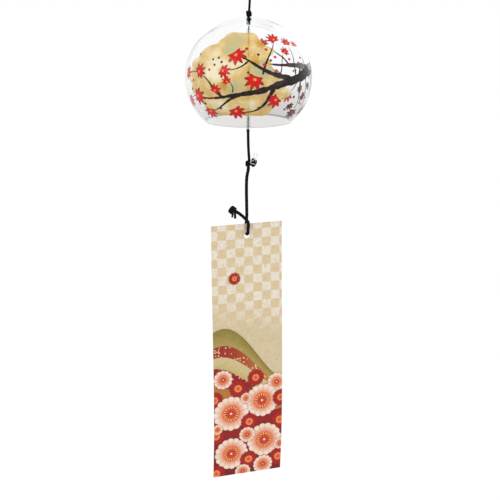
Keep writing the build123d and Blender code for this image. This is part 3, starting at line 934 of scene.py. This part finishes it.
strip = {
    "width": 48.5, "length": 177.0, "thickness": 0.4, "holeDrop": 7.9, "hole": 3.8,
    "columns": 160, "rows": 584, "holeCells": 10, "holeRings": 6,
    "lean": 0.35, "bow": 3.0,  # degrees that it hangs askew, and how far it bows to the front below its hole
}
stripPrint = {
    "square": 6.1, "squareStart": (4.1, 3.9),
    "fadeTop": 57.0, "fadeDepth": 26.0, "fadeSlant": -14.0,
    "beige": (228, 206, 166), "cream": (243, 233, 218), "field": (222, 203, 166),
    "olive": (136, 118, 48), "oliveLight": (194, 172, 100), "gold": (202, 134, 52), "ribbon": (216, 196, 144),
    "darkRed": (152, 22, 16), "deepRed": (110, 12, 10), "dot": (252, 232, 186),
    # tops of the flowing bands at the left and right edges, and how far they sway between
    "bandLeft": (72.0, 83.0, 90.0, 97.0, 108.0, 117.0),
    "bandRight": (103.0, 108.5, 113.0, 121.0, 128.0, 134.0),
    "bandSway": (-7.0, -5.0, -3.0, 0.0, 3.0, 4.0),
    "scaleRadius": 3.4, "dots": 420, "dotSizes": (0.22, 0.62), "seed": 11,
    "palePetals": {"edge": (252, 232, 214), "petal": (248, 182, 152), "inner": (232, 100, 66),
                   "heart": (200, 40, 26), "stamen": (255, 208, 116), "line": (226, 160, 140)},
    "redPetals": {"edge": (170, 18, 16), "petal": (196, 24, 20), "inner": (166, 14, 14),
                  "heart": (236, 96, 54), "stamen": (255, 200, 108), "line": (120, 6, 10)},
    # across, down, radius, petals, turn in degrees, and 1 for pale or 0 for red
    "flowers": [
        (15.5, 36.5, 3.9, 10, 8, 0), (29.5, 106.5, 5.6, 12, 20, 0), (17.0, 113.0, 6.0, 12, 5, 0), (0.5, 119.5, 5.8, 12, 30, 0),
        (6.5, 105.5, 6.6, 12, 0, 1), (44.5, 111.5, 6.6, 12, 10, 1), (34.0, 123.5, 11.8, 16, 5, 1), (47.5, 123.0, 5.8, 12, 15, 0),
        (12.0, 130.5, 12.4, 16, 0, 1), (47.0, 139.5, 6.6, 12, 15, 0), (25.0, 138.0, 6.0, 12, 12, 0), (36.0, 153.0, 12.4, 16, 9, 1),
        (12.5, 160.5, 11.8, 16, 4, 1), (23.5, 147.5, 5.6, 12, 18, 1), (1.5, 146.0, 6.2, 12, 9, 0), (25.0, 166.5, 6.2, 12, 25, 0),
        (46.5, 167.5, 6.6, 12, 12, 0), (35.5, 172.0, 7.0, 14, 7, 1), (21.0, 175.5, 5.6, 12, 16, 1), (2.0, 174.5, 6.4, 12, 20, 0),
        (22.5, 120.5, 3.8, 10, 0, 1), (47.5, 157.5, 4.4, 10, 0, 1), (2.5, 141.0, 3.6, 10, 0, 1),
    ],
}


def lay(under, over, cover):
    # paints over on under, by the share that cover gives
    return under + (np.asarray(over) / 255 - under) * cover[..., None]


def bandTop(index, across):
    # a flowing line: eased from its left height to its right one, with a long sway
    share = across / strip["width"]
    left, right, sway = (stripPrint[key][index] for key in ("bandLeft", "bandRight", "bandSway"))
    return left + (right - left) * smooth(0, 1, share) + sway * np.sin(np.pi * share * 1.3)


def waveScales(across, down):
    # overlapping scales: rings about the nearest lower centre of a brick lattice
    radius = stripPrint["scaleRadius"]
    rise = radius / 2
    shown = np.zeros_like(across)
    taken = np.zeros(across.shape, bool)
    for ahead in (2, 1, 0):
        row = np.floor(down / rise) + ahead
        shift = np.where(row % 2 == 0, 0, radius)
        column = np.round((across - shift) / (2 * radius))
        far = np.hypot(across - shift - column * 2 * radius, down - row * rise - 0.2 * rise)
        inside = (far < radius) & ~taken
        rings = smooth(0.15, 0.55, np.abs(np.sin(np.pi * far / radius * 3)))
        shown = np.where(inside, 1 - rings, shown)
        taken |= inside
    return shown


def paintFlower(colour, across, down, flower):
    # round many-petalled flower: scalloped rim, petal seams of even width, and a rayed heart
    x, y, radius, petals, turn, pale = flower
    tones = stripPrint["palePetals"] if pale else stripPrint["redPetals"]
    far = np.hypot(across - x, down - y)
    angle = np.arctan2(down - y, across - x) + np.radians(turn)
    petal = np.abs(np.cos(angle * petals / 2))
    rim = radius * (0.90 + 0.10 * petal ** 0.6)
    share = far / radius
    tone = np.asarray(tones["inner"]) / 255 + np.zeros(colour.shape)
    tone = lay(tone, tones["petal"], smooth(0.42, 0.62, share))
    tone = lay(tone, tones["edge"], smooth(0.58, 0.85, share))
    seam = 2 * far * petal / petals
    tone = lay(tone, tones["line"], (1 - smooth(0.10, 0.30, seam)) * smooth(0.3, 0.5, share) * 0.75)
    tone = lay(tone, tones["heart"], 1 - smooth(0.38, 0.46, share))
    rays = np.abs(np.cos(angle * petals / 2))
    reach = smooth(0.08, 0.14, share) * (1 - smooth(0.40, 0.46, share))
    beam = smooth(0.50, 0.85, rays) * reach
    tone = lay(tone, tones["stamen"], beam * (0.25 + 0.75 * smooth(0.22, 0.38, share)))
    tone = lay(tone, tones["edge"], 1 - smooth(0.05, 0.09, share))
    colour = lay(colour, stripPrint["deepRed"], (1 - smooth(rim, rim + 0.9, far)) * 0.35)  # soft shade around it
    return lay(colour, tone * 255, 1 - smooth(rim - 0.12, rim + 0.12, far))


def printedColour(across, down):
    # colour of the strip's face, and the share of pale square, across and down from its upper left corner
    width, square = strip["width"], stripPrint["square"]
    startAcross, startDown = stripPrint["squareStart"]
    colour = np.asarray(stripPrint["beige"]) / 255 + np.zeros(across.shape + (3,))
    weave = np.sin(np.pi * (across - startAcross) / square) * np.sin(np.pi * (down - startDown) / square)
    pale = smooth(-0.06, 0.06, -weave)
    colour = lay(colour, stripPrint["cream"], pale)
    slant = stripPrint["fadeSlant"] * (1 - across / width)
    fade = smooth(0, 1, (down - stripPrint["fadeTop"] - slant) / stripPrint["fadeDepth"])
    colour = lay(colour, stripPrint["field"], fade)
    tops = [bandTop(k, across) for k in range(len(stripPrint["bandLeft"]))]
    within = [smooth(-0.15, 0.15, down - top) for top in tops]
    depth = [np.clip((down - a) / np.maximum(b - a, 0.1), 0, 1) for a, b in zip(tops, tops[1:])]
    scales = waveScales(across, down)
    colour = lay(colour, stripPrint["olive"], within[0])
    colour = lay(colour, stripPrint["oliveLight"], within[0] * 0.75 * depth[0])
    colour = lay(colour, stripPrint["oliveLight"], within[0] * 0.55 * scales)
    colour = lay(colour, stripPrint["gold"], within[1])
    colour = lay(colour, stripPrint["darkRed"], within[1] * 0.8 * smooth(0.1, 0.9, 1 - across / width))
    colour = lay(colour, stripPrint["ribbon"], within[2])
    colour = lay(colour, stripPrint["oliveLight"], within[2] * 0.5 * smooth(0.3, 1, depth[2]))
    colour = lay(colour, stripPrint["darkRed"], within[3])
    colour = lay(colour, stripPrint["gold"], within[4] * 0.9)
    colour = lay(colour, stripPrint["olive"], within[4] * 0.5 * scales)
    colour = lay(colour, stripPrint["darkRed"], within[5])
    colour = lay(colour, stripPrint["deepRed"], within[5] * 0.6 * smooth(140, strip["length"], down))
    dotted = within[1] * (1 - within[2]) + within[3] * (1 - within[4])
    rng = np.random.default_rng(stripPrint["seed"])
    lowest = (0, stripPrint["bandLeft"][0])
    places = rng.uniform(lowest, (width, stripPrint["bandRight"][-1]), (stripPrint["dots"], 2))
    sizes = rng.uniform(*stripPrint["dotSizes"], stripPrint["dots"])
    cover = np.zeros_like(across)
    for (x, y), size in zip(places, sizes):
        cover = np.maximum(cover, 1 - smooth(size - 0.12, size + 0.12, np.hypot(across - x, down - y)))
    colour = lay(colour, stripPrint["dot"], cover * dotted * 0.9)
    for flower in stripPrint["flowers"]:
        colour = paintFlower(colour, across, down, flower)
    return np.clip(colour, 0, 1), pale * (1 - fade)


def makePaper():
    # a fine grid for the printed face, with rings of points from the punched hole out to a block of the grid;
    # the back has the same border and hole, and long plain faces between
    rows, columns, cells, rings = strip["rows"], strip["columns"], strip["holeCells"], strip["holeRings"]
    across, down = np.meshgrid(np.linspace(0, strip["width"], columns + 1), np.linspace(0, strip["length"], rows + 1))
    index = np.arange(across.size).reshape(across.shape)
    middle = columns // 2
    holeRow = round(strip["holeDrop"] / strip["length"] * rows)
    top, bottom, left, right = holeRow - cells, holeRow + cells, middle - cells, middle + cells
    border = np.r_[index[top, left:right], index[top:bottom, right], index[bottom, right:left:-1],
                   index[bottom:top:-1, left]]
    borderAcross, borderDown = across.ravel()[border], down.ravel()[border]
    angle = np.arctan2(borderDown - strip["holeDrop"], borderAcross - strip["width"] / 2)
    share = np.linspace(0, 1, rings, endpoint=False)[:, None]
    circleAcross = strip["width"] / 2 + strip["hole"] / 2 * np.cos(angle)
    circleDown = strip["holeDrop"] + strip["hole"] / 2 * np.sin(angle)
    ringAcross = circleAcross + (borderAcross - circleAcross) * share
    ringDown = circleDown + (borderDown - circleDown) * share
    ringIndex = np.r_[index.size + np.arange(ringAcross.size), border].reshape(rings + 1, len(border))
    allAcross = np.r_[across.ravel(), ringAcross.ravel()]
    allDown = np.r_[down.ravel(), ringDown.ravel()]
    count = len(allAcross)
    cellRow, cellColumn = np.divmod(np.arange(rows * columns), columns)
    punched = (cellRow >= top) & (cellRow < bottom) & (cellColumn >= left) & (cellColumn < right)
    front = gridQuads(rows + 1, columns + 1)[~punched]
    collar = ringIndex.ravel()[gridQuads(rings + 1, len(border), False, True)]
    edge = np.r_[index[0, :-1], index[:-1, -1], index[-1, :0:-1], index[:0:-1, 0]]
    walls = [np.stack([np.roll(ring, -1), ring, ring + count, np.roll(ring, -1) + count], -1)
             for ring in (edge, ringIndex[0][::-1])]
    backRows = np.arange(1, rows - 1)
    spans = [(0, left, backRows), (right, columns, backRows),
             (left, right, backRows[(backRows < top - 1) | (backRows > bottom)])]
    backQuads = [np.stack([index[r, b], index[r, a], index[r + 1, a], index[r + 1, b]], -1) for a, b, r in spans]
    backFans = [np.r_[index[0, a:b + 1][::-1], index[1, a], index[1, b]] for a, b in
                ((0, left), (left, right), (right, columns))]
    backFans += [np.r_[index[rows, a:b + 1], index[rows - 1, b], index[rows - 1, a]] for a, b in
                 ((0, left), (left, right), (right, columns))]
    backFans += [np.r_[index[top, left:right + 1], index[top - 1, right], index[top - 1, left]],
                 np.r_[index[bottom, left:right + 1][::-1], index[bottom + 1, left], index[bottom + 1, right]]]
    frontFaces = np.concatenate([front, collar[:, ::-1]])
    backFaces = (np.concatenate([*backQuads, collar]) + count).tolist() + [(fan + count).tolist() for fan in backFans]
    wallFaces = np.concatenate(walls)
    faces = frontFaces.tolist() + backFaces + wallFaces.tolist()
    used = np.unique(np.concatenate([np.ravel(face) for face in (frontFaces, wallFaces, np.concatenate(
        [np.ravel(face) for face in backFaces]))]))
    place = np.zeros(2 * count, int)
    place[used] = np.arange(len(used))
    faces = [place[face].tolist() for face in faces]
    side = np.tile(allAcross, 2)[used] - strip["width"] / 2
    drop = np.tile(allDown, 2)[used]
    out = np.where(used < count, strip["thickness"] / 2, -strip["thickness"] / 2)
    materials = [printMaterial(), plainPaperMaterial("paper back", paperLook["back"]),
                 plainPaperMaterial("paper edge", paperLook["edge"])]
    lean = math.radians(strip["lean"])
    below = drop - strip["holeDrop"]
    share = np.clip(below / (strip["length"] - strip["holeDrop"]), 0, 1)
    bow = strip["bow"] * 6.75 * share ** 2 * (1 - share)  # flat at the hole, fullest two thirds down
    hung = onStrip(side * math.cos(lean) + below * math.sin(lean), out + bow,
                   side * math.sin(lean) - below * math.cos(lean) - strip["holeDrop"])
    piece = makePiece("printed_paper_strip", hung, faces, materials, "strip",
                      ["paper_strip"])
    mesh = piece.data
    kinds = np.repeat([0, 1, 2], [len(frontFaces), len(backFaces), len(wallFaces)])
    mesh.polygons.foreach_set("material_index", kinds.astype(np.int32))
    mesh.polygons.foreach_set("use_smooth", np.zeros(len(faces), bool))
    colour, pale = printedColour(side + strip["width"] / 2, drop)
    tint = np.c_[linear(colour * 255), np.ones(len(colour))].astype(np.float32)
    mesh.attributes.new("print", "FLOAT_COLOR", "POINT").data.foreach_set("color", tint.ravel())
    mesh.attributes.new("paleSquare", "FLOAT", "POINT").data.foreach_set("value", pale.astype(np.float32))
    return piece


paperPiece = makePaper()
print("paper strip made")


# Studio

studio = {
    "floorZ": -1.25, "floorSize": 16.0, "floorTone": (240, 240, 240), "floorGlow": 0.9, "glowStrength": 1.06, "ambient": 0.85,
    "lamps": [
        # name, place, size, watts
        ("key", (-0.9, -1.1, 0.7), 0.9, 4.6),
        ("fill", (1.1, -0.8, 0.1), 0.8, 1.8),
        ("top", (0.1, 0.3, 1.1), 0.8, 1.6),
        ("back", (0.7, 1.2, 0.3), 0.9, 2.4),
    ],
    "aim": (0.0, 0.0, -0.19),
}


def seenRays(tree):
    # 1 for rays that show the background: seen straight, in a reflection, or through glass
    path = addNode(tree, "ShaderNodeLightPath").outputs
    first = addNode(tree, "ShaderNodeMath", {0: path["Is Camera Ray"], 1: path["Is Glossy Ray"]}, operation="MAXIMUM")
    both = addNode(tree, "ShaderNodeMath", {0: first.outputs[0], 1: path["Is Transmission Ray"]}, operation="MAXIMUM")
    return both.outputs[0]


def makeStudio():
    # pale floor far below, white surroundings and three soft lamps
    half, z = studio["floorSize"] / 2, studio["floorZ"]
    mesh = bpy.data.meshes.new("floor")
    mesh.from_pydata([(-half, -half, z), (half, -half, z), (half, half, z), (-half, half, z)], [], [(0, 1, 2, 3)])
    floor = bpy.data.objects.new("floor", mesh)
    bpy.context.scene.collection.objects.link(floor)
    material, tree, shader = newMaterial("pale floor")
    shader.inputs["Base Color"].default_value = rgba(studio["floorTone"])
    shader.inputs["Roughness"].default_value = 0.9
    glow = addNode(tree, "ShaderNodeEmission", {"Color": (1, 1, 1, 1), "Strength": studio["glowStrength"]})
    share = addNode(tree, "ShaderNodeMath", {0: seenRays(tree), 1: studio["floorGlow"]}, operation="MULTIPLY")
    mixed = addNode(tree, "ShaderNodeMixShader", {0: share.outputs[0], 1: shader.outputs[0], 2: glow.outputs[0]})
    tree.links.new(mixed.outputs[0], tree.nodes["Material Output"].inputs["Surface"])
    mesh.materials.append(material)
    world = bpy.data.worlds.new("white studio")
    bpy.context.scene.world = world
    world.use_nodes = True
    tree = world.node_tree
    light = tree.nodes["Background"]
    light.inputs["Color"].default_value = (1, 1, 1, 1)
    light.inputs["Strength"].default_value = studio["ambient"]
    seen = addNode(tree, "ShaderNodeBackground", {"Color": (1, 1, 1, 1), "Strength": 1.0})
    mixed = addNode(tree, "ShaderNodeMixShader", {0: seenRays(tree), 1: light.outputs[0], 2: seen.outputs[0]})
    tree.links.new(mixed.outputs[0], tree.nodes["World Output"].inputs["Surface"])
    aim = np.array(studio["aim"])
    for name, place, size, watts in studio["lamps"]:
        lamp = bpy.data.lights.new(name, "AREA")
        lamp.shape = "DISK"
        lamp.size = size
        lamp.energy = watts
        holder = bpy.data.objects.new(name, lamp)
        bpy.context.scene.collection.objects.link(holder)
        back = unit(np.array(place) - aim)
        right = unit(np.cross((0, 0, 1), back))
        frameAxes = np.eye(4)
        frameAxes[:3] = np.c_[right, np.cross(back, right), back, place]
        holder.matrix_world = Matrix(frameAxes.tolist())
    bpy.context.scene.view_settings.view_transform = "Standard"


view = {"place": (0.001671, -0.72655, -0.012937), "down": 15.385, "roll": 0.355, "lens": 83.07}


def makeCamera():
    # looks along +Y and down, with the slight roll of the picture
    camera = bpy.data.cameras.new("camera")
    camera.lens = view["lens"]
    camera.sensor_width = 36.0
    camera.clip_start = 0.01
    holder = bpy.data.objects.new("camera", camera)
    bpy.context.scene.collection.objects.link(holder)
    holder.matrix_world = (Matrix.Translation(view["place"]) @ Matrix.Rotation(math.radians(90 - view["down"]), 4, "X")
                           @ Matrix.Rotation(math.radians(view["roll"]), 4, "Z"))
    bpy.context.scene.camera = holder


makeStudio()
makeCamera()
print("studio made")
